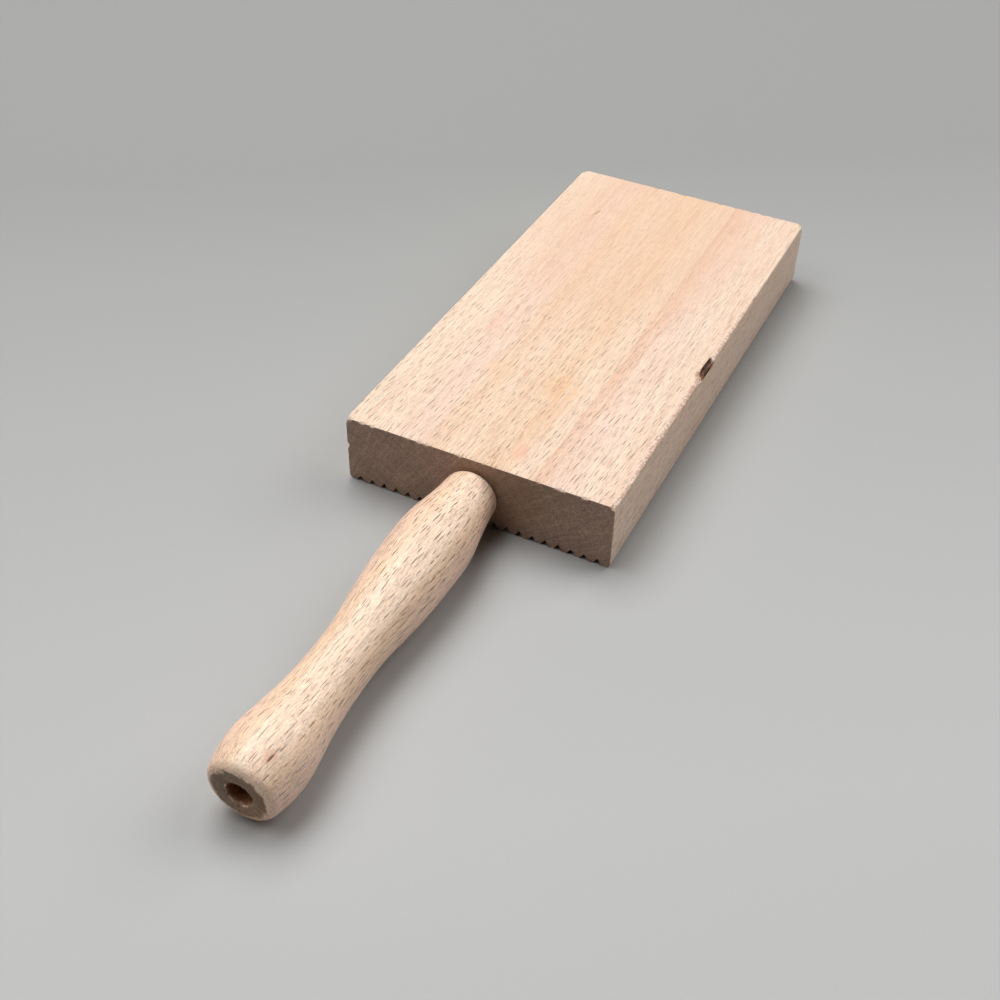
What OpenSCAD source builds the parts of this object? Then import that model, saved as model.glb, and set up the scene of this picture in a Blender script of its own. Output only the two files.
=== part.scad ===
// Gnocchi board: a grooved beech bed on a turned beech handle.
// Millimetres. The origin is on the table under the middle of the whole object's length,
// +Z is up, the handle points along -Y and the grooved face lies down.

/* [Board] */
// Width of the board, across the grooves
board_w = 75; // [55:1:110]
// Length of the board, along the grooves
board_l = 150; // [90:1:240]
// Thickness of the board
board_t = 20; // [17:0.5:30]
// Radius of the two long arrises beside the smooth face
smooth_arris_r = 0.8; // [0.3:0.1:4]
// Radius of the two long arrises beside the grooved face
grooved_arris_r = 1.5; // [0.3:0.1:2]

/* [Grooves] */
// Distance between the centre lines of two grooves
groove_pitch = 3.58; // [2.8:0.02:7]
// Depth of a groove below the lands
groove_depth = 1.8; // [0.8:0.1:2.7]
// Angle between a groove's two flanks
groove_angle = 60; // [40:1:80]
// Radius at the bottom of a groove
groove_root_r = 0.15; // [0.05:0.05:0.4]
// Radius where a land turns down into a groove
land_r = 0.45; // [0.1:0.05:0.8]
// Least distance from a long side to the first groove's centre line
groove_margin = 3.2; // [3:0.1:12]

/* [Handle] */
// Diameter of the collar that meets the board
collar_d = 15.2; // [14.6:0.1:18]
// Length of the collar, shoulder included
collar_l = 3; // [2.4:0.1:8]
// Radius of the shoulder that faces the board
shoulder_r = 2; // [0.5:0.1:2.1]
// Largest diameter of the belly
belly_d = 19.6; // [18.4:0.1:24]
// Distance from the collar to the belly's crest
belly_l = 21; // [12:0.5:34]
// Share of that distance taken by the hollow arc
belly_hollow = 0.47; // [0.2:0.01:0.8]
// Smallest diameter, at the waist
waist_d = 14.4; // [11:0.1:16.4]
// Distance from the belly's crest to the waist
waist_l = 40; // [24:0.5:56]
// Share of that distance taken by the hollow arc
waist_hollow = 0.35; // [0.2:0.01:0.8]
// Largest diameter of the knob
knob_d = 18.9; // [17.2:0.1:23]
// Distance from the waist to the knob's crest
knob_l = 29.5; // [16:0.5:44]
// Share of that distance taken by the hollow arc
knob_hollow = 0.8; // [0.3:0.01:0.9]
// Distance from the knob's crest to the butt face
butt_l = 10; // [6:0.5:16]
// Diameter of the flat butt face
butt_d = 11.3; // [9:0.1:13]
// Radius between the knob and the butt face
butt_r = 2.5; // [0.8:0.1:3.4]

/* [Hanging hole] */
// Diameter of the hole in the butt
hang_d = 6.2; // [3:0.1:7.8]
// Depth of the hole
hang_depth = 12; // [6:0.5:30]
// Chamfer at the hole's mouth
hang_chamfer = 0.4; // [0.1:0.05:0.6]

/* [Tenon and glue] */
// Diameter of the tenon turned on the handle
tenon_d = 10; // [6:0.1:10.6]
// Length of the tenon
tenon_l = 28; // [12:0.5:50]
// Chamfer on the tenon's tip
tenon_chamfer = 1; // [0.2:0.1:2]
// Thickness of the glue between the tenon and its bore
glue_film = 0.1; // [0.05:0.01:0.2]
// Thickness of the glue beyond the tenon's tip
glue_pool = 1.2; // [0.5:0.1:3]

/* [Setting] */
// Least clearance between the handle's belly and the table
table_clearance = 0.15; // [0:0.05:1]
// Largest gap between a curve and the flats that stand for it
curve_gap = 0.006; // [0.002:0.002:0.05]

/* [Hidden] */

BEECH = [0.93, 0.82, 0.69];
PALE_BEECH = [0.95, 0.86, 0.75];
GLUE = [0.86, 0.8, 0.55];
ROUND_FN = 128;

// Stations along the handle, measured from the board's front face
belly_at = collar_l + belly_l;
waist_at = belly_at + waist_l;
knob_at = waist_at + knob_l;
handle_l = knob_at + butt_l;

// The whole length is centred on the origin, so the board's front face falls here
front_y = handle_l - (board_l + handle_l) / 2;
// The handle is level with the middle of the board, or just high enough to clear the table
handle_z = max(board_t / 2, belly_d / 2 + table_clearance);

bore_d = tenon_d + 2 * glue_film;
bore_depth = tenon_l + glue_pool;

// The grooves fill the width between the margins and are centred on it
groove_n = floor((board_w - 2 * groove_margin) / groove_pitch) + 1;
first_groove = -(groove_n - 1) * groove_pitch / 2;
// The flanks would meet in a sharp root a little above the rounded one
flank_angle = groove_angle / 2;
sharp_depth = groove_depth + groove_root_r * (1 / sin(flank_angle) - 1);
mouth_w = 2 * sharp_depth * tan(flank_angle);
// A land's two rounds never take more than the land
land_turn = 90 - flank_angle;
land_round = min(land_r, 0.48 * (groove_pitch - mouth_w) / tan(land_turn / 2));
land_run = land_round * tan(land_turn / 2);
side_land = board_w / 2 + first_groove - mouth_w / 2 - land_run;
grooved_round = min(grooved_arris_r, 0.95 * side_land);

// Points on an arc about a centre, in steps fine enough for the curve. The last point is
// left out where the next curve starts on it.
function arc(centre, r, from, to, last = true) =
    let (step = 2 * acos(1 - curve_gap / r),
         steps = max(2, ceil(abs(to - from) / step)))
    [for (i = [0:last ? steps : steps - 1])
        let (a = from + (to - from) * i / steps)
        centre + r * [cos(a), sin(a)]];

// One V groove seen from the front, left to right, with its rounded lands and root
function groove(x) =
    let (land_out = mouth_w / 2 + land_run,
         root_at = groove_depth - groove_root_r)
    concat(
        arc([x - land_out, land_round], land_round, -90, -90 + land_turn),
        arc([x, root_at], groove_root_r, 180 - flank_angle, flank_angle),
        arc([x + land_out, land_round], land_round, -90 - land_turn, -90));

// The board's outline seen from the front: grooved face, right side, smooth face, left side
function board_outline() =
    let (side = board_w / 2,
         low = grooved_round,
         high = smooth_arris_r)
    concat(
        arc([-side + low, low], low, -180, -90),
        [for (i = [0:groove_n - 1]) each groove(first_groove + i * groove_pitch)],
        arc([side - low, low], low, -90, 0),
        arc([side - high, board_t - high], high, 0, 90),
        arc([-side + high, board_t - high], high, 90, 180));

// A sweep from one station to the next, each [radius, distance], without its last point.
// It is a hollow arc and a full arc that meet tangent and are level at the stations. Their
// radii add up to a fixed sum, and the hollow arc's share of it sets where they meet.
function sweep(a, b, hollow) =
    let (run = b.y - a.y,
         rise = abs(b.x - a.x),
         radii = (run * run + rise * rise) / (2 * rise),
         r_hollow = hollow * radii,
         r_full = radii - r_hollow,
         turn = asin(run / radii))
    b.x > a.x
        ? concat(
            arc([a.x + r_hollow, a.y], r_hollow, 180, 180 - turn, false),
            arc([b.x - r_full, b.y], r_full, -turn, 0, false))
        : concat(
            arc([a.x - r_full, a.y], r_full, 0, turn, false),
            arc([b.x + r_hollow, b.y], r_hollow, 180 + turn, 180, false));

// The knob's end: a full arc, level at the crest, that runs into the small butt radius
function knob_end() =
    let (drop = (knob_d - butt_d) / 2,
         run = butt_l - butt_r,
         full_r = (run * run + drop * drop - butt_r * butt_r) / (2 * (drop - butt_r)),
         meet = asin(run / (full_r - butt_r)))
    concat(
        arc([knob_d / 2 - full_r, knob_at], full_r, 0, meet, false),
        arc([butt_d / 2, handle_l - butt_r], butt_r, meet, 90));

// The tenon's half section below the shoulder, radius against distance from the board
function tenon_section() = [
    [0, -tenon_l],
    [tenon_d / 2 - tenon_chamfer, -tenon_l],
    [tenon_d / 2, -tenon_l + tenon_chamfer]];

// The handle's half section, from the tenon's tip round the outside to the hole's bottom
function handle_section() =
    let (collar = [collar_d / 2, collar_l],
         belly = [belly_d / 2, belly_at],
         waist = [waist_d / 2, waist_at],
         knob = [knob_d / 2, knob_at],
         hole_r = hang_d / 2)
    concat(
        tenon_section(),
        [[tenon_d / 2, 0]],
        arc([collar.x - shoulder_r, shoulder_r], shoulder_r, -90, 0),
        sweep(collar, belly, belly_hollow),
        sweep(belly, waist, waist_hollow),
        sweep(waist, knob, knob_hollow),
        knob_end(),
        [[hole_r + hang_chamfer, handle_l],
         [hole_r, handle_l - hang_chamfer],
         [hole_r, handle_l - hang_depth],
         [0, handle_l - hang_depth]]);

// Turns a form made along +Z so that it runs along the handle from the board's front face
module along_handle() {
    translate([0, front_y, handle_z])
        rotate([90, 0, 0])
            children();
}

// The grooved bed, with the bore that takes the tenon
module board() {
    color(BEECH)
        difference() {
            translate([0, front_y + board_l, 0])
                rotate([90, 0, 0])
                    linear_extrude(height = board_l)
                        polygon(board_outline());
            along_handle()
                translate([0, 0, -bore_depth])
                    cylinder(d = bore_d, h = bore_depth + 1, $fn = ROUND_FN);
        }
}

// The turned handle, one piece with its tenon
module handle() {
    color(PALE_BEECH)
        along_handle()
            rotate_extrude($fn = ROUND_FN)
                polygon(handle_section());
}

// The cured glue between the tenon and its bore
module glue_line() {
    color(GLUE)
        along_handle()
            difference() {
                translate([0, 0, -bore_depth])
                    cylinder(d = bore_d, h = bore_depth, $fn = ROUND_FN);
                rotate_extrude($fn = ROUND_FN)
                    polygon(concat(tenon_section(), [[tenon_d / 2, 1], [0, 1]]));
            }
}

board();
handle();
glue_line();
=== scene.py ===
"""Gnocchi board: the looks of a grooved beech bed on a turned beech handle.

The packed model gives every place and size. Metres, +Z up, the handle points along -Y.
"""

from math import asin, ceil, cos, hypot, pi, radians, sin, tan as tangent

import bmesh
import bpy
from mathutils import Matrix, Vector, noise


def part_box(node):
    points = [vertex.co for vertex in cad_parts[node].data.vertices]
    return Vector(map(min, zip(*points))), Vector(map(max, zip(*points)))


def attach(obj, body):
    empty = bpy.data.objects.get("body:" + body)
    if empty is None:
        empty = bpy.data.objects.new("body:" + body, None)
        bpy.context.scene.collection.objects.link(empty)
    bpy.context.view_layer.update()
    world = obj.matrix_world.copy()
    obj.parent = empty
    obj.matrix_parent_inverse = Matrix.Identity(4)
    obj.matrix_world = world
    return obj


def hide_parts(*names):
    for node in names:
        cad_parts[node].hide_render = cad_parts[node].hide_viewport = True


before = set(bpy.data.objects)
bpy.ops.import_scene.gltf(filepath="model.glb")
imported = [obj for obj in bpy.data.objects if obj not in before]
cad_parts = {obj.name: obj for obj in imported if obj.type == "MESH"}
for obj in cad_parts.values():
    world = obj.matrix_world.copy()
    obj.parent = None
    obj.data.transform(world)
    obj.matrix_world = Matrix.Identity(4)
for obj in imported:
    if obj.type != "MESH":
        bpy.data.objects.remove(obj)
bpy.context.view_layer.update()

bl_info = {
    "name": "Gnocchi Board",
    "version": (1, 0, 0),
    "blender": (4, 5, 0),
    "location": "3D View > Sidebar > Gnocchi Board",
    "description": "Dresses a grooved beech board, its turned handle and the glue between them",
    "category": "Add Mesh",
}

MM = 0.001
BOARD_LOW, BOARD_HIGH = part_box("board")
HANDLE_LOW, HANDLE_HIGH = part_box("handle")
HANDLE_AXIS = (HANDLE_LOW.z + HANDLE_HIGH.z) / 2
HANDLE_FRONT = BOARD_LOW.y
BODY = "root"
# Where the pith of the log lay for each piece, in millimetres across and up
BOARD_PITH = (-57.5, -47)
HANDLE_PITH = (56.4, -10.5)
# Distances in millimetres from an end and from the right-hand side at which the board is cut finer
END_CUTS = (0.12, 0.3, 0.6, 1.0, 1.6, 2.4, 3.4)
SIDE_CUTS = (0.15, 0.4, 0.8, 1.2, 1.7, 2.3, 3.0)
# Stretch cut finest for the bark pocket and the pocket's middle, in millimetres from the near end
BARK_SPAN = (56, 72)
BARK_MIDDLE = 64
# Height of the nick in the near left arris, in millimetres
NICK_HEIGHT = 11
# Share of the neck's, the waist's and the knob's sweep that its hollow arc takes
NECK_HOLLOW, WAIST_HOLLOW, KNOB_HOLLOW = 0.68, 0.33, 0.8
# Millimetres that the handle stands aside at the board and at most, and how much it moves
# aside and down with each millimetre from the board
ASIDE_START, ASIDE_MOST = -0.52, 0.34
ASIDE_SLOPE, DROP_SLOPE = 0.0115, 0.0025
# Millimetres from the butt face over which the turning is rough
ROUGH_REACH = 2.6
# Flats round the turned handle and round the bore
TURNED_FLATS, BORE_FLATS = 128, 96
# Degrees above which an edge is shaded sharp
SHARP_ANGLE = 38
# Floor: half its side in metres, the way its painted shade darkens in degrees, and from where to where in
# metres
FLOOR_HALF = 3
FLOOR_TURN = -123.5
FLOOR_FADE = (-0.11, 0.17)
# Lamps: the name of the power's setting, the side and the place in metres
LAMPS = (
    ("key", 1.15, (-0.508, 0.363, 1.473)),
    ("fill", 1.1, (0.793, 0.897, 1.063)),
    ("front", 1.1, (-0.694, -0.486, 1.357)),
)
# Camera: its place and its aim in millimetres, its roll in degrees and its lens
CAMERA_PLACE = (116.82, -250.98, 234.21)
CAMERA_AIM = (6.85, -23.07, 10.0)
CAMERA_ROLL = 1.363
CAMERA_LENS = 48.68


def linear(value):
    """An sRGB hex colour as linear red, green, blue and a full alpha."""
    channels = [int(value[i:i + 2], 16) / 255 for i in (1, 3, 5)]
    return [c / 12.92 if c <= 0.04045 else ((c + 0.055) / 1.055) ** 2.4 for c in channels] + [1.0]


def length(name, description, mm):
    """A size that a user may change, given in millimetres and held in metres."""
    return bpy.props.FloatProperty(
        name=name, description=description, default=mm * MM, unit="LENGTH", precision=5)


def colour(name, description, value):
    """A colour that a user may change, given as sRGB hex and held as linear."""
    return bpy.props.FloatVectorProperty(
        name=name, description=description, default=linear(value), size=4, min=0, max=1,
        subtype="COLOR")


class BoardSizes(bpy.types.PropertyGroup):
    """Sizes of the grooved bed."""
    width: length("Width", "Across the grooves", (BOARD_HIGH.x - BOARD_LOW.x) / MM)
    length: length("Length", "Along the grooves", (BOARD_HIGH.y - BOARD_LOW.y) / MM)
    thickness: length("Thickness", "From the lands to the smooth face", (BOARD_HIGH.z - BOARD_LOW.z) / MM)
    smooth_arris: length("Smooth arris", "Radius of the long arrises beside the smooth face", 0.5)
    grooved_arris: length("Grooved arris", "Radius of the long arrises beside the grooves", 1.5)
    pitch: length("Groove pitch", "Between two grooves' centre lines", 3.58)
    depth: length("Groove depth", "Below the lands", 1.8)
    flank: bpy.props.FloatProperty(
        name="Flank angle", description="Between a flank and the upright", default=radians(33),
        subtype="ANGLE")
    root: length("Root radius", "At the bottom of a groove", 0.15)
    land: length("Land radius", "Where a land turns into a groove", 0.15)
    grooves: bpy.props.IntProperty(name="Grooves", description="How many grooves", default=20, min=1)
    bore: length("Bore", "Diameter of the bore that takes the tenon", 10.2)
    bore_depth: length("Bore depth", "From the near end", 29.2)


class HandleSizes(bpy.types.PropertyGroup):
    """Sizes of the turned handle, each distance measured from the board."""
    collar: length("Collar", "Diameter where it meets the board", 14.6)
    shoulder: length("Shoulder radius", "Facing the board", 2.2)
    neck: bpy.props.FloatProperty(
        name="Neck slope", description="How steeply the neck widens from the shoulder",
        default=radians(4.3), subtype="ANGLE")
    belly: length("Belly", "Largest diameter near the board", 19.7)
    belly_at: length("Belly crest", "Distance from the board", 24)
    waist: length("Waist", "Smallest diameter", 14.4)
    waist_at: length("Waist place", "Distance from the board", 64)
    knob: length("Knob", "Largest diameter near the butt", 19.5)
    knob_at: length("Knob crest", "Distance from the board", 93.5)
    butt: length("Butt", "Diameter of the flat butt face", 12.4)
    butt_at: length("Butt face", "Distance from the board", 103.5)
    butt_round: length("Butt radius", "Between the knob and the butt face", 2.5)
    hole: length("Hole", "Diameter of the hole in the butt", 6.2)
    hole_depth: length("Hole depth", "From the butt face", 12)
    hole_chamfer: length("Hole chamfer", "At its mouth", 0.4)
    tenon: length("Tenon", "Diameter of the hidden tenon", 10)
    tenon_length: length("Tenon length", "Beyond the shoulder", 28)
    tenon_chamfer: length("Tenon chamfer", "At its tip", 1)


class WoodColours(bpy.types.PropertyGroup):
    """Colours of the wood and of the glue."""
    cream: colour("Cream", "Palest wood", "#F5DCC4")
    tan: colour("Tan", "Middle tone", "#F0D0B0")
    pink: colour("Pink", "Flushed wood", "#EFCBB6")
    ring: colour("Late wood", "Growth ring lines", "#DDB294")
    fleck: colour("Fleck", "Ray flecks", "#6A391C")
    end_grain: colour("End grain", "Cut across the fibres", "#A88A77")
    bark: colour("Bark", "Bark pocket", "#4E2C19")
    crumb: colour("Crumbs", "Paler crumbs in the bark", "#805235")
    lift: bpy.props.FloatProperty(
        name="Handle lift", description="How much paler the handle's wood is than the board's",
        default=1.25, min=0.5, max=1.5)
    glue: colour("Glue", "Cured wood glue", "#DCCB96")


class StageSetting(bpy.types.PropertyGroup):
    """Floor, light and camera."""
    floor: colour("Floor", "Plain matt floor near the camera", "#BDBDBC")
    # The far colour is painted shade, for the light that falls off towards the far left
    far: colour("Far floor", "The same floor far to the left", "#9C9C9A")
    key: bpy.props.FloatProperty(
        name="Key", description="Power of the large soft lamp", default=21.2, min=0, unit="POWER")
    fill: bpy.props.FloatProperty(
        name="Fill", description="Power of the weaker lamp behind on the right", default=10.6, min=0,
        unit="POWER")
    front: bpy.props.FloatProperty(
        name="Front", description="Power of the weak lamp at the front on the left", default=7, min=0,
        unit="POWER")
    sky: bpy.props.FloatProperty(
        name="Sky", description="Strength of the even light all round", default=0.01, min=0)


def add(tree, kind, settings, inputs, stops=()):
    """Adds a node, with its settings and with values or links for its inputs."""
    node = tree.nodes.new(kind)
    for name, value in settings.items():
        setattr(node, name, value)
    for name, value in inputs.items():
        if isinstance(value, bpy.types.NodeSocket):
            tree.links.new(value, node.inputs[name])
        else:
            node.inputs[name].default_value = value
    for i, (place, tone) in enumerate(stops):
        ramp = node.color_ramp.elements
        stop = ramp[i] if i < len(ramp) else ramp.new(place)
        stop.position = place
        stop.color = tone
    return node


# Inputs and output of the Mix node when it mixes colours
FIRST, SECOND, MIXED = 6, 7, 2
# How far the fibres wander, and over what lengths, in millimetres
WANDER = 1.2
SLOW = (14, 60, 14)
# Size of a short dash along the fibres, in millimetres
DASH = (0.35, 1.8, 0.35)
# Radius at which the texture's distance round the rings is a true one, in millimetres
LOG_RADIUS = 80
# How much of the height a ray fleck's place takes in, so that flecks show on every long face
SLANT = 0.8
# A usual radius of the turned handle, in millimetres, round which its flecks are spread
TURNED_RADIUS = 9
# Streaks along the fibres, the fibres themselves, and the sanded grain between them: size in
# millimetres, contrast, and how far they stand proud
FIBRES = (
    ((0.8, 16, 0.8), 0.04, 0.0),
    ((0.25, 5, 0.25), 0.07, 1.0),
    ((0.35, 0.5, 0.35), 0.08, 0.5),
)
# Patterns that break a mark up: streaks, grains, short dashes along the fibres, torn patches
STREAKS, GRIT, DASHES, PATCHES = 0, 2, 3, 4
# Pores, rays and rings as they show where the wood is cut across
END_GRAIN = (
    ((0.4, 1, 0.4), 0.63, 1.31),
    ((0.45, 3, 6), 0.86, 1.13),
    ((1.3, 3, 12), 0.9, 1.09),
    ((20, 60, 1.2), 0.91, 1.08),
)


def mapped(tree, value, start, full, low=0, high=1, smooth=False):
    """A value taken from one range to another and held at its ends."""
    ease = {"interpolation_type": "SMOOTHSTEP"} if smooth else {}
    return add(tree, "ShaderNodeMapRange", ease, {
        "Value": value, "From Min": start, "From Max": full, "To Min": low, "To Max": high}).outputs[0]


def calc(tree, operation, *values):
    """The result of a sum on numbers."""
    return add(tree, "ShaderNodeMath", {"operation": operation}, dict(enumerate(values))).outputs[0]


def scaled(tree, vector, factor):
    """A vector or a colour times a number."""
    return add(tree, "ShaderNodeVectorMath", {"operation": "SCALE"}, {
        0: vector, "Scale": factor}).outputs[0]


def blend(tree, amount, first, second):
    """A mix of two colours."""
    return add(tree, "ShaderNodeMix", {"data_type": "RGBA"}, {
        0: amount, FIRST: first, SECOND: second}).outputs[MIXED]


def grains(tree, place, size, detail=2):
    """Soft noise whose grains have a size in the units of the place."""
    spots = add(tree, "ShaderNodeMapping", {}, {"Vector": place, "Scale": [1 / s for s in size]})
    return add(tree, "ShaderNodeTexNoise", {}, {
        "Vector": spots.outputs[0], "Scale": 1, "Detail": detail})


def plain_material(name):
    """A new material with its node tree and its shader."""
    material = bpy.data.materials.new(name)
    material.use_nodes = True
    return material, material.node_tree, material.node_tree.nodes["Principled BSDF"]


def ray_flecks(tree, place, across, along, half_width, half_length):
    """Ray ends as short dark spindles that lie along the fibres, in millimetres.

    place holds the distance round the rings in X and along the fibres in Y. A cell of the
    pattern holds one spindle of its own length, width and darkness, and some hold none.
    """
    cells = add(tree, "ShaderNodeMapping", {}, {
        "Vector": place, "Scale": (1 / across, 1 / along, 1)}).outputs[0]
    ray = add(tree, "ShaderNodeTexVoronoi", {"voronoi_dimensions": "2D"}, {
        "Vector": cells, "Scale": 1, "Randomness": 0.65})
    lot = add(tree, "ShaderNodeSeparateColor", {}, {"Color": ray.outputs["Color"]}).outputs
    wide, long, dark = lot[0], lot[1], lot[2]
    stretch_x = mapped(tree, wide, 0, 1, across / (0.7 * half_width), across / (1.2 * half_width))
    stretch_y = mapped(tree, long, 0, 1, along / (0.5 * half_length), along / (1.3 * half_length))
    stretch = add(tree, "ShaderNodeCombineXYZ", {}, {"X": stretch_x, "Y": stretch_y}).outputs[0]
    off = add(tree, "ShaderNodeVectorMath", {"operation": "SUBTRACT"}, {
        0: cells, 1: ray.outputs["Position"]}).outputs[0]
    pulled = add(tree, "ShaderNodeVectorMath", {"operation": "MULTIPLY"}, {
        0: off, 1: stretch}).outputs[0]
    side = add(tree, "ShaderNodeVectorMath", {"operation": "ABSOLUTE"}, {0: pulled}).outputs[0]
    parts = add(tree, "ShaderNodeSeparateXYZ", {}, {0: side})
    square = calc(tree, "MULTIPLY", parts.outputs["Y"], parts.outputs["Y"])
    reach = calc(tree, "ADD", parts.outputs["X"], square)
    body = mapped(tree, reach, 1.0, 0.6, smooth=True)
    tone = mapped(tree, dark, 0.05, 0.55, 0.0, 1.0)
    return calc(tree, "MULTIPLY", body, tone)


def beech(name, tones, pith, rings, tinges, flecks, lean, fade, end_tone, end_cut, bark, marks,
          roughness, grain, turned=False):
    """Sanded, unfinished beech as a solid texture, so that it runs on through every face.

    A bare wood, planed or turned and then sanded: matt, with short dark ray flecks along the
    fibres, fibres as fine streaks, growth rings as long soft bands, and a darker tone across
    the end grain. The rings run round the pith. On a turned piece the flecks are spread evenly
    round its axis.
    """
    material, tree, shader = plain_material(name)
    here = add(tree, "ShaderNodeTexCoord", {}, {})
    place = here.outputs["Object"]

    # Millimetres from the pith, with a slow wander
    log = add(tree, "ShaderNodeMapping", {}, {
        "Vector": place, "Scale": (1 / MM,) * 3,
        "Location": (-pith[0] - WANDER / 2, 0, -pith[1] - WANDER / 2)}).outputs[0]
    wander = grains(tree, log, SLOW, detail=1).outputs["Color"]
    log = add(tree, "ShaderNodeVectorMath", {"operation": "MULTIPLY_ADD"}, {
        0: wander, 1: (WANDER, 0, WANDER), 2: log}).outputs[0]
    parts = add(tree, "ShaderNodeSeparateXYZ", {}, {0: log})
    # The same place as X round the rings, Y along the fibres and Z out from the pith
    level = add(tree, "ShaderNodeVectorMath", {"operation": "MULTIPLY"}, {0: log, 1: (1, 0, 1)})
    from_pith = add(tree, "ShaderNodeVectorMath", {"operation": "LENGTH"}, {
        0: level.outputs[0]}).outputs["Value"]
    angle = calc(tree, "ARCTAN2", parts.outputs["X"], parts.outputs["Z"])
    round_rings = calc(tree, "MULTIPLY", angle, LOG_RADIUS)
    log = add(tree, "ShaderNodeCombineXYZ", {}, {
        "X": round_rings, "Y": parts.outputs["Y"], "Z": from_pith}).outputs[0]

    # Growth rings, each stop a distance out from the pith in millimetres and its tone
    first, last = rings[0][0], rings[-1][0]
    out = mapped(tree, from_pith, first, last)
    wood = add(tree, "ShaderNodeValToRGB", {}, {"Fac": out}, stops=[
        ((at - first) / (last - first), tone) for at, tone in rings]).outputs[0]

    # Tinges: patches of a size in millimetres, where the pattern starts and is full, tone, strength
    for size, start, full, tone, strength in tinges:
        cloud = grains(tree, log, size).outputs[0]
        amount = mapped(tree, cloud, start, full, 0, strength)
        wood = blend(tree, amount, wood, tone)

    # Streaks, fibres and sanded grain lighten and darken the wood
    height, patterns = None, []
    for size, contrast, proud in FIBRES:
        cloud = grains(tree, log, size).outputs[0]
        patterns.append(cloud)
        shade = mapped(tree, cloud, 0.3, 0.7, 1 - grain * contrast, 1 + grain * contrast)
        wood = scaled(tree, wood, shade)
        height = calc(tree, "MULTIPLY_ADD", cloud, proud, 0 if height is None else height)

    cloud = grains(tree, log, DASH, detail=1).outputs[0]
    patterns.append(mapped(tree, cloud, 0.52, 0.6))
    patches = add(tree, "ShaderNodeTexNoise", {}, {
        "Vector": place, "Scale": 1 / (0.8 * MM), "Detail": 3}).outputs[0]
    patterns.append(patches)
    # Wear and shade are painted on the mesh: red for bark, and on the handle painted shade on the wall of
    # the hole; green for torn fibres; blue for painted shade in the grooves
    painted = add(tree, "ShaderNodeAttribute", {"attribute_name": "wear"}, {}).outputs["Color"]
    wear = add(tree, "ShaderNodeSeparateColor", {}, {"Color": painted})

    # Ray flecks lie across the piece, or round the axis of a turned one
    side = calc(tree, "MULTIPLY_ADD", parts.outputs["Z"], SLANT, parts.outputs["X"])
    if turned:
        axis = add(tree, "ShaderNodeSeparateXYZ", {}, {0: place})
        up = calc(tree, "SUBTRACT", axis.outputs["Z"], HANDLE_AXIS)
        round_axis = calc(tree, "ARCTAN2", axis.outputs["X"], up)
        side = calc(tree, "MULTIPLY", round_axis, TURNED_RADIUS)
    side = calc(tree, "MULTIPLY_ADD", parts.outputs["Y"], -lean, side)
    flat = add(tree, "ShaderNodeCombineXYZ", {}, {"X": side, "Y": parts.outputs["Y"]}).outputs[0]
    dark = 0
    for i, (across, along, half_width, half_length, strength) in enumerate(flecks):
        moved = add(tree, "ShaderNodeVectorMath", {"operation": "ADD"}, {
            0: flat, 1: (17.3 * i, 41.7 * i, 0)}).outputs[0]
        mask = ray_flecks(tree, moved, across, along, half_width, half_length)
        part = calc(tree, "MULTIPLY", mask, strength)
        dark = calc(tree, "MAXIMUM", part, dark)
    near = mapped(tree, parts.outputs["Y"], fade[0], fade[1], 1.0, fade[2], smooth=True)
    dark = calc(tree, "MULTIPLY", dark, near)
    # They die out where the surface turns towards an end
    facing = add(tree, "ShaderNodeSeparateXYZ", {}, {0: here.outputs["Normal"]}).outputs["Y"]
    square = calc(tree, "ABSOLUTE", facing)
    along_grain = mapped(tree, square, 0.3, 0.65, 1.0, 0.0)
    dark = calc(tree, "MULTIPLY", dark, along_grain)
    wood = blend(tree, dark, wood, tones.fleck)

    # End grain: darker, with open pores, rays as fine lines and rings as faint bands across them
    end_wood = end_tone[:3]
    for size, least, most in END_GRAIN:
        cloud = grains(tree, log, size).outputs[0]
        shade = mapped(tree, cloud, 0.3, 0.7, least, most)
        end_wood = scaled(tree, end_wood, shade)
    ragged = calc(tree, "MULTIPLY_ADD", patches, 0.3, square)
    ragged = calc(tree, "MULTIPLY_ADD", wear.outputs["Green"], 0.6, ragged)
    cut = mapped(tree, ragged, end_cut[0], end_cut[1], smooth=True)
    wood = blend(tree, cut, wood, end_wood)

    # Painted shade: the grooves are drawn much darker, down to a tenth of the wood's colour, for the shade
    # inside them
    painted_groove_shade = mapped(tree, wear.outputs["Blue"], 0, 1, 1.0, 0.1)
    wood = scaled(tree, wood, painted_groove_shade)
    # Bark, and on the handle painted shade on the wall of the hole: dark brown with paler crumbs
    crumbs = mapped(tree, patches, 0.45, 0.7)
    crust = blend(tree, crumbs, bark[0], bark[1])
    edge = calc(tree, "MULTIPLY_ADD", patches, 0.6, wear.outputs["Red"])
    amount = mapped(tree, edge, 0.45, 0.75, smooth=True)
    wood = blend(tree, amount, wood, crust)

    # Single marks: an ellipsoid about a place, brushed along the streaks or broken into specks
    for centre, half, turn, tone, strength, soft, pattern in marks:
        inside = add(tree, "ShaderNodeMapping", {"vector_type": "TEXTURE"}, {
            "Vector": place, "Location": [c * MM for c in centre],
            "Rotation": (0, 0, radians(turn)), "Scale": [h * MM for h in half]}).outputs[0]
        ball = add(tree, "ShaderNodeTexGradient", {"gradient_type": "SPHERICAL"}, {
            "Vector": inside}).outputs["Fac"]
        brushed = mapped(tree, patterns[pattern], 0.35, 0.65, 1 - soft, 1 + soft)
        share = calc(tree, "MULTIPLY", ball, brushed)
        amount = mapped(tree, share, 0.03, 0.2 + 0.55 * soft, 0, strength, smooth=True)
        wood = blend(tree, amount, wood, linear(tone))

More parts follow.
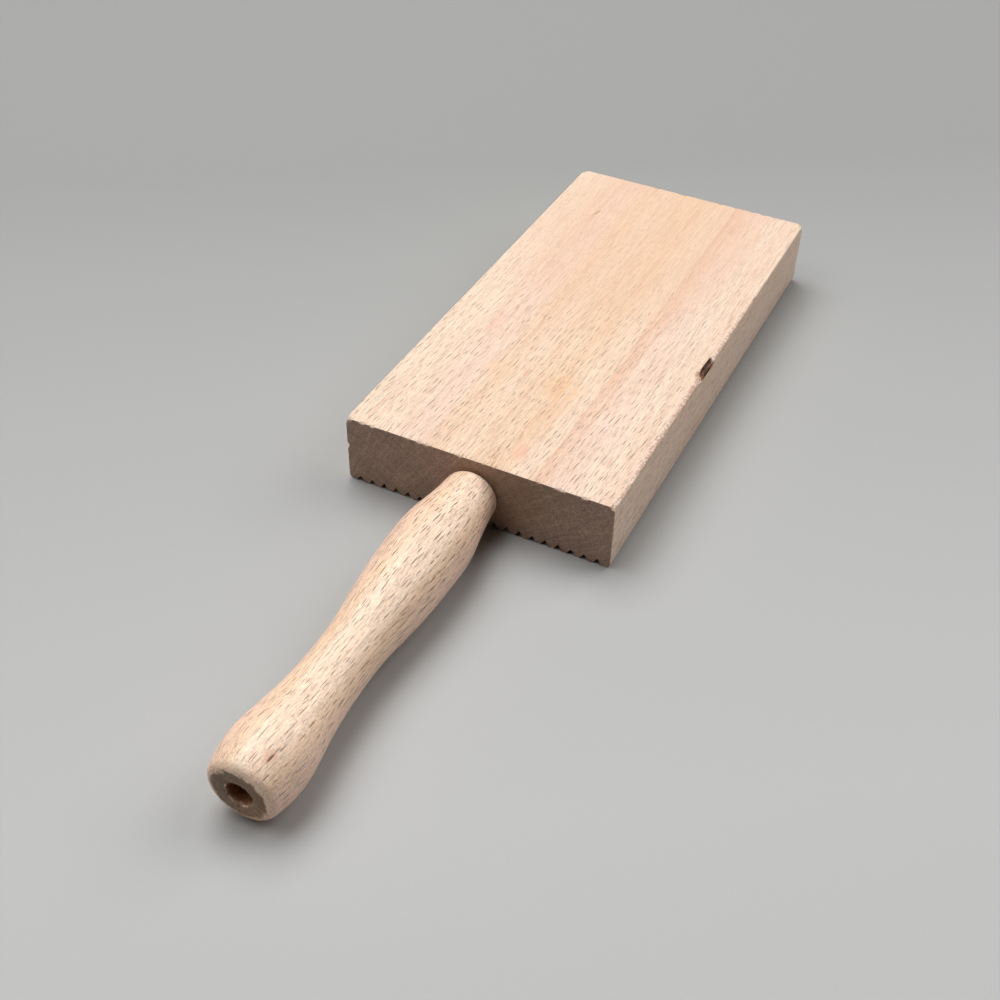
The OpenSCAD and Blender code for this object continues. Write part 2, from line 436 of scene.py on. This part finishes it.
    # Sanding leaves the fibres a few hundredths of a millimetre proud and the flecks a little low
    height = calc(tree, "MULTIPLY_ADD", dark, -0.25, height)
    bump = add(tree, "ShaderNodeBump", {}, {
        "Height": height, "Distance": 0.04 * MM, "Strength": 0.8}).outputs[0]
    tree.links.new(wood, shader.inputs["Base Color"])
    tree.links.new(bump, shader.inputs["Normal"])
    shader.inputs["Roughness"].default_value = roughness
    shader.inputs["IOR"].default_value = 1.5
    return material


def settled(bm, name, material, replaced):
    """Turns a mesh into a finished piece that stands for its CAD node."""
    bmesh.ops.recalc_face_normals(bm, faces=bm.faces[:])
    bmesh.ops.triangulate(bm, faces=[f for f in bm.faces if len(f.verts) > 4])
    mesh = bpy.data.meshes.new(name)
    bm.to_mesh(mesh)
    bm.free()
    mesh.shade_smooth()
    mesh.set_sharp_from_angle(angle=radians(SHARP_ANGLE))
    mesh.materials.append(material)
    piece = bpy.data.objects.new(name, mesh)
    bpy.context.scene.collection.objects.link(piece)
    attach(piece, BODY)
    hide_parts(replaced)
    return piece


def without(bm, cutter):
    """The mesh bm with the mesh cutter taken out of it."""
    holders = []
    for part in (bm, cutter):
        mesh = bpy.data.meshes.new("blank")
        part.to_mesh(mesh)
        part.free()
        holder = bpy.data.objects.new("blank", mesh)
        bpy.context.scene.collection.objects.link(holder)
        holders.append(holder)
    cut = holders[0].modifiers.new("bore", "BOOLEAN")
    cut.operation = "DIFFERENCE"
    cut.solver = "EXACT"
    cut.object = holders[1]
    bpy.context.view_layer.update()
    result = bmesh.new()
    result.from_object(holders[0], bpy.context.evaluated_depsgraph_get())
    for holder in holders:
        mesh = holder.data
        bpy.data.objects.remove(holder)
        bpy.data.meshes.remove(mesh)
    return result


def bevelled(bm, edges, radius, turn, segments):
    """Rounds edges to a radius where the surface turns by an angle."""
    bmesh.ops.bevel(
        bm, geom=edges, offset=radius * tangent(turn / 2), offset_type="OFFSET", segments=segments,
        profile=0.5, affect="EDGES", material=-1)


def board_blank(sizes):
    """The bed with its grooves, rounded long edges and bore."""
    side = sizes.width / 2
    front = BOARD_LOW.y
    flank = sizes.flank
    sharp = sizes.depth + sizes.root * (1 / sin(flank) - 1)
    mouth = sharp * tangent(flank)
    first = -(sizes.grooves - 1) * sizes.pitch / 2
    bm = bmesh.new()
    vee = [bm.verts.new((first + x, front, z)) for x, z in ((-mouth, 0), (0, sharp), (mouth, 0))]
    bmesh.ops.spin(
        bm, geom=vee, cent=(0, 0, 0), axis=(0, 1, 0), dvec=(sizes.pitch, 0, 0), angle=0,
        steps=sizes.grooves - 1, use_duplicate=True)
    low = sorted(bm.verts, key=lambda v: v.co.x)
    corners = [bm.verts.new((x, front, z)) for x, z in (
        (side, 0), (side, sizes.thickness), (-side, sizes.thickness), (-side, 0))]
    section = bm.faces.new(low + corners)
    grown = bmesh.ops.extrude_face_region(bm, geom=[section])["geom"]
    bmesh.ops.translate(
        bm, vec=(0, sizes.length, 0), verts=[v for v in grown if isinstance(v, bmesh.types.BMVert)])
    bmesh.ops.recalc_face_normals(bm, faces=bm.faces[:])

    def long_edges(test):
        """Edges that run the whole length and pass a test on their x and z."""
        return [e for e in bm.edges if abs(e.verts[0].co.y - e.verts[1].co.y) > sizes.length / 2
                and test(e.verts[0].co.x, e.verts[0].co.z)]

    near = 0.01 * MM
    bevelled(bm, long_edges(lambda x, z: z > sizes.thickness - near), sizes.smooth_arris, pi / 2, 5)
    bevelled(bm, long_edges(lambda x, z: z < near and abs(x) > side - near), sizes.grooved_arris, pi / 2, 6)
    bevelled(bm, long_edges(lambda x, z: z < near and abs(x) < abs(first) + mouth + near),
             sizes.land, pi / 2 - flank, 4)
    bevelled(bm, long_edges(lambda x, z: abs(z - sharp) < near), sizes.root, pi - 2 * flank, 3)

    bore = bmesh.new()
    bmesh.ops.create_cone(
        bore, cap_ends=True, segments=BORE_FLATS, radius1=sizes.bore / 2, radius2=sizes.bore / 2,
        depth=2 * sizes.bore_depth, matrix=Matrix.Translation((0, front, HANDLE_AXIS)) @
        Matrix.Rotation(pi / 2, 4, "X"))
    return without(bm, bore)


def sliced(bm, normal, places, above=None):
    """Cuts the mesh, or what lies above a height, by planes across a direction."""
    for place in places:
        faces = [f for f in bm.faces if above is None or f.calc_center_median().z > above]
        edges = {e for f in faces for e in f.edges}
        verts = {v for f in faces for v in f.verts}
        bmesh.ops.bisect_plane(
            bm, geom=[*verts, *edges, *faces], dist=1e-7, plane_co=[n * place for n in normal],
            plane_no=normal)


def refined(bm, near, longest):
    """Splits the edges longer than a limit, in millimetres, whose two ends are near a worn place."""
    edges = [e for e in bm.edges
             if e.calc_length() > longest * MM and all(near(v.co / MM) for v in e.verts)]
    bmesh.ops.subdivide_edges(bm, edges=edges, cuts=2, use_grid_fill=True)


def steps(start, end, step):
    """Places from start to end, both left out, at most a step apart."""
    count = ceil(abs(end - start) / step)
    return [start + (end - start) * i / count for i in range(1, count)]


def chance(u, v, seed):
    """Smooth noise between -1 and 1."""
    return noise.noise(Vector((u, v, seed * 7.31)))


def rub(a, b, reach):
    """How much of an edge's wear reaches a point at distances a and b from its two faces."""
    return max(0.0, 1 - hypot(a, b) / reach) ** 2


def paint(bm, wear):
    """Stores each point's wear on the faces round it. A cutter rubs whole faces, but no end."""
    layer = bm.loops.layers.float_color.new("wear")
    none = (0, 0, 0)
    for face in bm.faces:
        end = abs(face.normal.y) > 0.9
        shaded_groove = 0 if end else max(wear.get(vertex, none)[2] for vertex in face.verts)
        for loop in face.loops:
            bark, torn, _ = wear.get(loop.vert, none)
            loop[layer] = (bark, torn, shaded_groove, 1)


def wear_board(bm, sizes):
    """Chips the end arrises, roughens the right-hand arris and cuts the bark pocket."""
    wear = {}
    low, high = BOARD_LOW / MM, BOARD_HIGH / MM
    bore = (sizes.bore / 2) / MM + 0.2
    pitch = sizes.pitch / MM
    first = -(sizes.grooves - 1) * pitch / 2
    for vertex in bm.verts:
        p = vertex.co / MM
        if hypot(p.x, p.z - HANDLE_AXIS / MM) < bore and p.y < low.y + sizes.bore_depth / MM + 0.1:
            continue
        front, back = p.y - low.y, high.y - p.y
        left, right = p.x - low.x, high.x - p.x
        under, top = p.z, high.z - p.z
        move = Vector((0, 0, 0))
        bark = pale = 0.0
        for away, way, seed in ((front, 1, 1), (back, -1, 2)):
            # End arrises at the smooth face: sharp, with small chips
            chip = 0.05 + 1.1 * max(0.0, chance(p.x / 1.8, 0, seed) - 0.12)
            chip = min(0.4, chip + 0.1 * chance(p.x / 0.6, 5, seed)) * (1 if way > 0 else 0.4)
            amount = chip * rub(away, top, 1.2)
            move += Vector((0, way * amount, -0.8 * amount))
            pale = max(pale, min(0.6, 3 * chip) * max(0.0, 1 - hypot(away, top) / 0.8))
            # Upright end arrises
            for across, inward, other in ((left, 1, 3), (right, -1, 4)):
                split = 0.08 + 0.4 * max(0.0, chance(p.z / 1.2, seed, other) - 0.25)
                amount = split * rub(away, across, 0.8)
                move += Vector((inward * amount, way * amount, 0))
                # Corners of the smooth face
                blunt = 0.4 * max(0.0, 1 - hypot(away, across, top) / 1.8)
                move += Vector((inward * blunt, way * blunt, -blunt))
            # Ends of the grooves: torn, more so on the right
            if under < 3:
                tear = 0.18 if p.x > 18 else 0.08
                tear *= max(0.0, 1 - away / 0.9) * (0.6 + chance(p.x / 0.5, p.z / 0.5, seed + 5))
                tear *= 1 - under / 3
                move += Vector((0, way * tear, 0))
        # The first two grooves end blunt
        if p.x < first + 1.5 * pitch and 1.62 < under < 2:
            move.z -= (under - 1.62) * max(0.0, 1 - front / 1.2)
        # The nick in the near left arris
        nick = max(0.0, 1 - hypot(front / 1.0, left / 1.0, (p.z - NICK_HEIGHT) / 0.9))
        move += Vector((0.45 * nick, 0.3 * nick, 0))
        # The right-hand arris is rough over the near two thirds, as a strip that slopes a little
        fibrous = max(0.0, 1 - max(0.0, front - 80) / 30) * min(1.0, 2 * max(0.0, 1 - right / 1.4))
        worn = 0.24 + 0.13 * chance(p.y / 2.6, p.x / 0.7, 9) + 0.05 * chance(p.y / 0.9, p.x / 0.4, 19)
        amount = fibrous * max(0.03, worn) * max(0.0, 1 - top / 1.3)
        move += Vector((-0.3 * amount, 0, -amount))
        # The bark pocket on it, with steep ragged walls
        sides = (right / 1.6, (front - 64.2 - 0.7 * right) / 4.7, top / 1.4)
        pocket = sum(side ** 4 for side in sides) ** 0.25 + 0.12 * chance(p.y / 1.9, p.x / 1.2, 11)
        tail = hypot(right / 1.6, (front - 58.2) / 3.0, top / 1.4)
        if pocket < 1:
            deep = 1.2 * min(1.0, 4 * (1 - pocket)) * (1 + 0.3 * chance(p.y / 0.9, p.x / 0.8, 12))
            move += Vector((-0.35 * deep, 0, -0.9 * deep))
            bark = min(1.0, 6.0 * (1 - pocket))
        if tail < 1:
            move.z -= 0.5 * (1 - tail) * (0.7 + chance(p.y / 0.6, p.x / 0.6, 15))
        # Painted shade: the faces in the grooves are marked to be drawn darker, for the shade inside them
        groove = 1 if 0.1 < under < 2.2 and abs(p.x) < high.x - 2 else 0
        wear[vertex] = (bark, -pale, groove)
        vertex.co += move * MM
    paint(bm, wear)


def arc(centre, radius, start, end, step, last=False):
    """Points on an arc as (radius, distance), from angle start to angle end."""
    count = max(2, ceil(abs(end - start) * radius / step))
    return [(centre[0] + radius * cos(start + (end - start) * i / count),
             centre[1] + radius * sin(start + (end - start) * i / count))
            for i in range(count + 1 if last else count)]


def swept(a, b, hollow, step, slope=0.0):
    """A hollow arc and a full arc that meet tangent and end level. A rise may start at a slope."""
    run, rise = b[1] - a[1], abs(b[0] - a[0])
    flat, tilt = 1 - hollow * (1 - cos(slope)), hollow * sin(slope)
    spare = rise * flat - run * tilt
    chord = hypot(run, rise)
    radii = chord ** 2 / (spare + hypot(spare, chord * (1 - flat ** 2 - tilt ** 2) ** 0.5))
    inner = hollow * radii
    outer = radii - inner
    turn = asin((run + inner * sin(slope)) / radii)
    if b[0] > a[0]:
        centre = (a[0] + inner * cos(slope), a[1] - inner * sin(slope))
        return (arc(centre, inner, pi - slope, pi - turn, step)
                + arc((b[0] - outer, b[1]), outer, -turn, 0, step))
    return (arc((a[0] - outer, a[1]), outer, 0, turn, step)
            + arc((b[0] + inner, b[1]), inner, pi + turn, pi, step))


def handle_profile(s):
    """Half section from the tenon's tip to the bottom of the hole, as (radius, distance)."""
    step = 0.8 * MM
    fine = 0.25 * MM
    tenon, hole = s.tenon / 2, s.hole / 2
    drop = (s.knob - s.butt) / 2
    run = s.butt_at - s.knob_at - s.butt_round
    full = (run * run + drop * drop - s.butt_round ** 2) / (2 * (drop - s.butt_round))
    meet = asin(run / (full - s.butt_round))
    points = [(0, -s.tenon_length), (tenon - s.tenon_chamfer, -s.tenon_length),
              (tenon, -s.tenon_length + s.tenon_chamfer), (tenon, 0)]
    centre = s.collar / 2 - s.shoulder
    neck = (centre + s.shoulder * cos(s.neck), s.shoulder - s.shoulder * sin(s.neck))
    belly, waist, knob = (s.belly / 2, s.belly_at), (s.waist / 2, s.waist_at), (s.knob / 2, s.knob_at)
    points += arc((centre, s.shoulder), s.shoulder, -pi / 2, -s.neck, fine)
    points += swept(neck, belly, NECK_HOLLOW, step, s.neck)
    points += swept(belly, waist, WAIST_HOLLOW, step) + swept(waist, knob, KNOB_HOLLOW, step)
    points += arc((s.knob / 2 - full, s.knob_at), full, 0, meet, fine)
    points += arc((s.butt / 2, s.butt_at - s.butt_round), s.butt_round, meet, pi / 2, fine, last=True)
    mouth = hole + s.hole_chamfer
    points += [(r, s.butt_at) for r in steps(s.butt / 2, mouth, fine)]
    points += [(mouth, s.butt_at), (hole + s.hole_chamfer / 3, s.butt_at - s.hole_chamfer * 2 / 3)]
    points += [(hole, s.butt_at - d) for d in steps(s.hole_chamfer, 3 * MM, fine)]
    points += [(hole, s.butt_at - s.hole_depth), (0, s.butt_at - s.hole_depth)]
    return points


def wear_handle(bm, s):
    """Sets the handle a little askew, with wavering turning, a torn butt face and a ragged hole."""
    bm.normal_update()
    butt, face, hole = s.butt_at / MM, s.butt / 2 / MM, s.hole / 2 / MM
    moves, wear = [], {}
    for vertex in bm.verts:
        p = vertex.co / MM
        out = (HANDLE_FRONT - vertex.co.y) / MM
        if out <= 0.01:
            continue
        spread = hypot(p.x, p.z - HANDLE_AXIS / MM)
        # It stands a little off the middle of the board, a little askew and down to the table
        aside = Vector((min(ASIDE_MOST, ASIDE_SLOPE * out + ASIDE_START), 0, -DROP_SLOPE * out))
        amount = 0.05 * chance(p.x / 9, p.y / 7, 21) + 0.012 * chance(p.x / 1.6 + p.z / 1.6, p.y / 1.1, 22)
        rough = max(0.0, 1 - (butt - out) / ROUGH_REACH)
        amount += rough * (0.07 * noise.noise(p / 0.8) + 0.07 * noise.noise(p / 0.35))
        # The rim of the butt face stands up in torn fibres
        rim = max(0.0, 1 - abs(spread - face) / 0.9) * rough
        amount += rim * (0.1 * noise.noise(p / 0.7 + Vector((9, 0, 0))) - 0.03)
        # So does the mouth of the hole
        mouth = max(0.0, 1 - abs(spread - hole - 0.1) / 0.9) * rough
        amount += mouth * (0.22 * noise.noise(p / 0.6 + Vector((4, 0, 0))) - 0.05)
        moves.append((vertex, (vertex.normal * amount + aside) * MM))
        # Painted shade: the wall of the hole is marked to be drawn dark brown, for the shade deep in the
        # hole
        inside = spread < hole + 0.6 and out > butt - s.hole_depth / MM - 0.1
        dark = min(1.0, max(0.0, (hole + 0.3 - spread) / 0.5)) if inside else 0
        # The face shows end grain up to an uneven edge, and the round beyond it does not
        fuzz = 0.7 * noise.noise(p / 1.5 + Vector((0, 6, 0))) + 0.5 * noise.noise(p / 0.55)
        torn = min(0.35, max(-0.6, (face + fuzz - spread) / 1.6)) if out > butt - 2.5 else 0.0
        wear[vertex] = (dark, torn, 0)
    for vertex, move in moves:
        vertex.co += move
    paint(bm, wear)


class GNOCCHI_OT_board(bpy.types.Operator):
    """Cut the grooved bed from beech and wear its edges"""
    bl_idname = "gnocchi.board"
    bl_label = "Board"

    def execute(self, context):
        sizes = context.scene.gnocchi_board
        tones = context.scene.gnocchi_wood
        low, high = BOARD_LOW, BOARD_HIGH
        bm = board_blank(sizes)
        ends = [d * MM for d in END_CUTS]
        edge = [high.x - d * MM for d in SIDE_CUTS]
        bark_start, bark_end = (place * MM for place in BARK_SPAN)
        middle = steps(ends[-1], bark_start, 1.2 * MM) + steps(bark_start, bark_end, 0.5 * MM)
        middle += steps(bark_end, sizes.length - ends[-1], 2 * MM)
        lands = 2.4 * MM
        sliced(bm, (0, 0, 1), [lands])
        sliced(bm, (0, 1, 0), [low.y + d for d in ends] + [high.y - d for d in ends])
        sliced(bm, (0, 1, 0), [low.y + d for d in middle], above=lands)
        sliced(bm, (1, 0, 0), steps(low.x, edge[-1], 0.75 * MM) + edge, above=lands)
        sliced(bm, (0, 0, 1), steps(lands, high.z, 0.9 * MM) + [high.z - d * MM for d in SIDE_CUTS])
        front, back, top, right = low.y / MM, high.y / MM, high.z / MM, high.x / MM
        refined(bm, lambda p: min(p.y - front, back - p.y) < 1.1 and top - p.z < 1.1, 0.3)
        refined(bm, lambda p: right - p.x < 1.5 and top - p.z < 1.3 and p.y - front < 110, 0.5)
        refined(
            bm, lambda p: hypot(right - p.x, top - p.z) < 2.6 and abs(p.y - front - BARK_MIDDLE) < 6.5,
            0.35)
        refined(bm, lambda p: p.y - front < 1.1 and p.x + right < 1.1 and abs(p.z - NICK_HEIGHT) < 2, 0.4)
        wear_board(bm, sizes)
        # Rings where they come out on the smooth face, in mm from its left edge
        across, above = low.x / MM - BOARD_PITH[0], top - BOARD_PITH[1]
        rings = [(hypot(across + at, above), tone) for at, tone in (
            (-20, tones.tan), (0, tones.cream), (9, tones.cream), (10, linear("#F5DBC4")),
            (12, linear("#F4D8BF")), (16, linear("#F3D5C1")), (22, linear("#F2D3BE")), (24.2, tones.tan),
            (25.1, linear("#F3D6BB")), (25.8, linear("#EBC4A6")), (26.6, tones.tan),
            (31, linear("#F3D6BB")), (35.8, tones.tan), (36.3, linear("#ECC6A8")), (37, tones.tan),
            (42, tones.tan), (42.8, linear("#ECC5A6")), (44, tones.tan),
            (48, linear("#F3D6BA")), (52.7, linear("#F3D8BD")),
            (53.5, linear("#E9C0A4")), (55.0, linear("#ECC5AB")), (57.4, tones.pink),
            (58.2, linear("#F3D6C0")), (60, linear("#F2D3C0")), (67, linear("#F4DCC7")),
            (72, linear("#F1D2BB")), (76, tones.cream))]
        tinges = (
            ((7, 90, 7), 0.52, 0.8, tones.pink, 0.5), ((5, 60, 5), 0.48, 0.2, tones.cream, 0.5),
            ((1.0, 24, 1.0), 0.5, 0.75, tones.ring, 0.45), ((0.7, 14, 0.7), 0.5, 0.3, tones.cream, 0.5),
            ((0.3, 9, 0.3), 0.5, 0.72, tones.ring, 0.6))
        flecks = ((1.4, 5.2, 0.11, 2.4, 0.85), (0.75, 3.6, 0.07, 1.7, 0.5))
        # Marks on the smooth face, in mm: place, half sizes, lean, tone, strength, softness, break-up
        marks = [
            ((-22.5, 102.8, 20), (0.6, 2.6, 1.2), -14, "#9A6A4A", 0.65, 0.3, STREAKS),
            ((-22.8, 99.5, 20), (1.2, 5.0, 1.2), -8, "#E3B591", 0.5, 0.7, STREAKS),
            ((5.5, 14.2, 20), (7.0, 7.5, 3), 0, "#F0BF92", 0.4, 0.9, STREAKS),
            ((5.0, 16.0, 20), (2.2, 4.2, 2), 0, "#C9976F", 0.4, 1.0, DASHES),
            ((8.2, 0.0, 20), (3.4, 26.0, 3), 0, "#EDC09B", 0.5, 0.9, STREAKS),
            ((-14.0, 14.5, 20), (3.6, 5.0, 2), 0, "#EFC59E", 0.35, 0.9, STREAKS),
            ((8.6, -15.0, 20), (3.2, 5.5, 2), 0, "#EEAE98", 0.4, 0.9, STREAKS),
            ((2.9, -18.9, 20), (2.2, 5.0, 2), 0, "#DDB08A", 0.3, 0.9, STREAKS),
            ((2.9, -18.9, 20), (2.0, 4.5, 2), 0, "#8A5E42", 0.45, 1.0, DASHES),
            ((-4.0, 100.0, 20), (42.0, 70.0, 12), 0, "#E8BE9F", 0.42, 0.4, STREAKS),
            ((37.0, 20.0, 20), (1.5, 80.0, 1.2), 0, "#F5DCCF", 0.4, 0.6, GRIT),
            ((37.2, 20.0, 19.9), (1.1, 80.0, 1.0), 0, "#A8765C", 0.6, 1.0, PATCHES),
            ((36.4, 37.6, 19.3), (1.9, 3.2, 2.0), 0, "#9C6A44", 0.8, 0.7, PATCHES),
            ((36.4, 35.6, 19.4), (1.4, 1.8, 1.4), 0, "#CFA888", 0.7, 0.9, PATCHES),
            ((37.4, 44.0, 19.0), (1.1, 2.6, 1.6), 0, "#9A6846", 0.6, 0.6, PATCHES),
            ((-22.5, 33.5, 20), (3.0, 9.0, 3), 0, "#EDB9A3", 0.35, 0.9, STREAKS),
            ((-5.0, 16.2, 20), (0.9, 3.0, 1), 0, "#D6907A", 0.4, 0.7, STREAKS),
            ((29.8, -8.2, 20), (0.9, 3.6, 1), 0, "#E09686", 0.45, 0.7, STREAKS),
            ((5.0, -23.3, 11), (17.0, 3.0, 11.0), 0, "#A5805F", 0.3, 0.2, STREAKS),
        ]
        material = beech(
            "Sanded beech, flat sawn", tones, BOARD_PITH, rings, tinges, flecks, 0.08, (5, 110, 0.4),
            tones.end_grain, (0.72, 0.92), (tones.bark, tones.crumb), marks, 0.55, 1.3)
        settled(bm, "board_bed", material, "board")
        return {"FINISHED"}


class GNOCCHI_OT_handle(bpy.types.Operator):
    """Turn the beech handle with its tenon and its hole"""
    bl_idname = "gnocchi.handle"
    bl_label = "Handle"

    def execute(self, context):
        sizes = context.scene.gnocchi_handle
        tones = context.scene.gnocchi_wood
        bm = bmesh.new()
        points = [bm.verts.new((r, HANDLE_FRONT - d, HANDLE_AXIS)) for r, d in handle_profile(sizes)]
        edges = [bm.edges.new(pair) for pair in zip(points, points[1:])]
        bmesh.ops.spin(
            bm, geom=points + edges, cent=(0, 0, HANDLE_AXIS), axis=(0, 1, 0), angle=2 * pi,
            steps=TURNED_FLATS, use_merge=True)
        bmesh.ops.remove_doubles(bm, verts=bm.verts[:], dist=0.001 * MM)
        bmesh.ops.recalc_face_normals(bm, faces=bm.faces[:])
        wear_handle(bm, sizes)

        def lifted(tone):
            """The same hue, as much paler as wood can be."""
            factor = min(tones.lift, 0.99 / max(tone[:3]))
            return [c * factor for c in tone[:3]] + [1.0]

        cream, tan, pink, ring = (
            lifted(tone) for tone in (tones.cream, tones.tan, tones.pink, tones.ring))
        # Rings across the turned piece, in mm from the pith
        rings = (
            (46, pink), (52, pink), (55, tan), (58, cream), (63, cream), (65, tan), (69, pink), (72, tan))
        tinges = (
            ((5, 40, 5), 0.5, 0.7, pink, 0.5), ((6, 30, 6), 0.48, 0.28, cream, 0.3),
            ((0.8, 10, 0.8), 0.5, 0.75, ring, 0.3), ((0.7, 2.4, 0.7), 0.5, 0.3, cream, 0.25),
            ((0.35, 0.5, 0.35), 0.46, 0.68, ring, 0.65))
        flecks = ((1.5, 4.8, 0.13, 2.3, 1.0), (1.4, 4.6, 0.1, 1.8, 0.9))
        marks = [
            ((4.7, -120.8, 17.6), (1.9, 2.6, 2.0), -8, "#E39A80", 0.5, 0.9, GRIT),
            ((5.1, -120.9, 17.5), (0.32, 1.6, 1.2), -8, "#6E2F1E", 0.85, 0.3, STREAKS),
            ((5.7, -118.3, 17.6), (0.18, 0.7, 1.0), -8, "#8A4A36", 0.5, 0.3, STREAKS),
            ((2.5, -126.75, 5.5), (6.5, 2.0, 5.0), 0, "#C09A7C", 0.4, 0.8, PATCHES),
            ((-4.0, -126.75, 11.0), (4.5, 2.0, 6.0), 0, "#5A3A24", 0.4, 0.9, PATCHES),
        ]
        # Its bark colours draw the wall of the hole dark brown, as painted shade
        material = beech(
            "Turned beech", tones, HANDLE_PITH, rings, tinges, flecks, 0.06, (-60, -110, 0.8),
            linear("#846243"), (0.8, 1.25), (linear("#8C5638"), linear("#B8865F")), marks, 0.42, 2.8,
            turned=True)
        settled(bm, "turned_handle", material, "handle")
        return {"FINISHED"}


class GNOCCHI_OT_glue(bpy.types.Operator):
    """Give the cured glue round the tenon its look"""
    bl_idname = "gnocchi.glue"
    bl_label = "Glue line"

    def execute(self, context):
        tones = context.scene.gnocchi_wood
        # Cured white glue: a hard yellowish skin, faintly uneven, half way to gloss
        material, tree, shader = plain_material("Cured wood glue")
        here = add(tree, "ShaderNodeTexCoord", {}, {}).outputs["Object"]
        uneven = add(tree, "ShaderNodeTexNoise", {}, {"Vector": here, "Scale": 400, "Detail": 3}).outputs[0]
        skin = add(tree, "ShaderNodeValToRGB", {}, {"Fac": uneven}, stops=(
            (0.3, tones.glue), (0.75, linear("#C9B47C")))).outputs[0]
        bump = add(tree, "ShaderNodeBump", {}, {"Height": uneven, "Distance": 0.03 * MM}).outputs[0]
        tree.links.new(skin, shader.inputs["Base Color"])
        tree.links.new(bump, shader.inputs["Normal"])
        shader.inputs["Roughness"].default_value = 0.35
        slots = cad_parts["glue_line"].data.materials
        if len(slots):
            slots[0] = material
        else:
            slots.append(material)
        return {"FINISHED"}


class GNOCCHI_OT_stage(bpy.types.Operator):
    """Lay the floor and set the three lamps, the even light and the camera"""
    bl_idname = "gnocchi.stage"
    bl_label = "Stage"

    def execute(self, context):
        scene = context.scene
        setting = scene.gnocchi_stage
        bm = bmesh.new()
        bmesh.ops.create_grid(bm, x_segments=8, y_segments=8, size=FLOOR_HALF)
        mesh = bpy.data.meshes.new("floor")
        bm.to_mesh(mesh)
        bm.free()
        floor = bpy.data.objects.new("floor", mesh)
        scene.collection.objects.link(floor)
        # Matt coated board, a plain pale grey
        material, tree, shader = plain_material("Matt grey card")
        here = add(tree, "ShaderNodeTexCoord", {}, {}).outputs["Object"]
        speckle = add(tree, "ShaderNodeTexNoise", {}, {
            "Vector": here, "Scale": 900, "Detail": 2}).outputs[0]
        even = mapped(tree, speckle, 0, 1, 0.985, 1.015)
        # Painted shade: the floor's colour darkens towards the far left over about 0.3 m, where the light
        # falls off
        away = add(tree, "ShaderNodeMapping", {}, {
            "Vector": here, "Rotation": (0, 0, radians(FLOOR_TURN))}).outputs[0]
        depth = add(tree, "ShaderNodeSeparateXYZ", {}, {0: away}).outputs["X"]
        share = mapped(tree, depth, *FLOOR_FADE)
        grey = blend(tree, share, setting.floor, setting.far)
        grey = scaled(tree, grey, even)
        tree.links.new(grey, shader.inputs["Base Color"])
        shader.inputs["Roughness"].default_value = 0.75
        mesh.materials.append(material)

        for name, width, place in LAMPS:
            place = Vector(place)
            lamp = bpy.data.lights.new(name, "AREA")
            lamp.shape = "SQUARE"
            lamp.size = width
            lamp.energy = getattr(setting, name)
            holder = bpy.data.objects.new(name, lamp)
            scene.collection.objects.link(holder)
            aim = place.to_track_quat("Z", "Y").to_matrix().to_4x4()
            holder.matrix_world = Matrix.Translation(place) @ aim

        world = bpy.data.worlds.new("studio")
        world.use_nodes = True
        even_light = world.node_tree.nodes["Background"]
        even_light.inputs["Color"].default_value = (1, 1, 1, 1)
        even_light.inputs["Strength"].default_value = setting.sky
        scene.world = world

        lens = bpy.data.cameras.new("camera")
        lens.sensor_width = 36
        lens.lens = CAMERA_LENS
        lens.clip_start = 0.01
        camera = bpy.data.objects.new("camera", lens)
        scene.collection.objects.link(camera)
        place = Vector(CAMERA_PLACE) * MM
        aim = Vector(CAMERA_AIM) * MM
        tilt = Matrix.Rotation(radians(CAMERA_ROLL), 4, "Z")
        turn = (aim - place).to_track_quat("-Z", "Y").to_matrix().to_4x4()
        camera.matrix_world = Matrix.Translation(place) @ turn @ tilt
        scene.camera = camera
        scene.view_settings.view_transform = "Standard"
        return {"FINISHED"}


STEPS = (GNOCCHI_OT_stage, GNOCCHI_OT_board, GNOCCHI_OT_handle, GNOCCHI_OT_glue)


class GNOCCHI_PT_sidebar(bpy.types.Panel):
    """Steps of the gnocchi board and its sizes"""
    bl_label = "Gnocchi Board"
    bl_idname = "GNOCCHI_PT_sidebar"
    bl_space_type = "VIEW_3D"
    bl_region_type = "UI"
    bl_category = "Gnocchi Board"

    def draw(self, context):
        for step in STEPS:
            self.layout.operator(step.bl_idname)
        for name, group in GROUPS.items():
            column = self.layout.column(heading=group.__doc__)
            for field in group.__annotations__:
                column.prop(getattr(context.scene, name), field)


GROUPS = {
    "gnocchi_board": BoardSizes,
    "gnocchi_handle": HandleSizes,
    "gnocchi_wood": WoodColours,
    "gnocchi_stage": StageSetting,
}


def register():
    for kind in (*GROUPS.values(), *STEPS, GNOCCHI_PT_sidebar):
        bpy.utils.register_class(kind)
    for name, group in GROUPS.items():
        setattr(bpy.types.Scene, name, bpy.props.PointerProperty(type=group))


def unregister():
    for name in GROUPS:
        delattr(bpy.types.Scene, name)
    for kind in (GNOCCHI_PT_sidebar, *reversed(STEPS), *reversed(GROUPS.values())):
        bpy.utils.unregister_class(kind)


def main():
    register()
    bpy.ops.gnocchi.stage()
    bpy.ops.gnocchi.board()
    bpy.ops.gnocchi.handle()
    bpy.ops.gnocchi.glue()


if __name__ == "__main__":
    main()
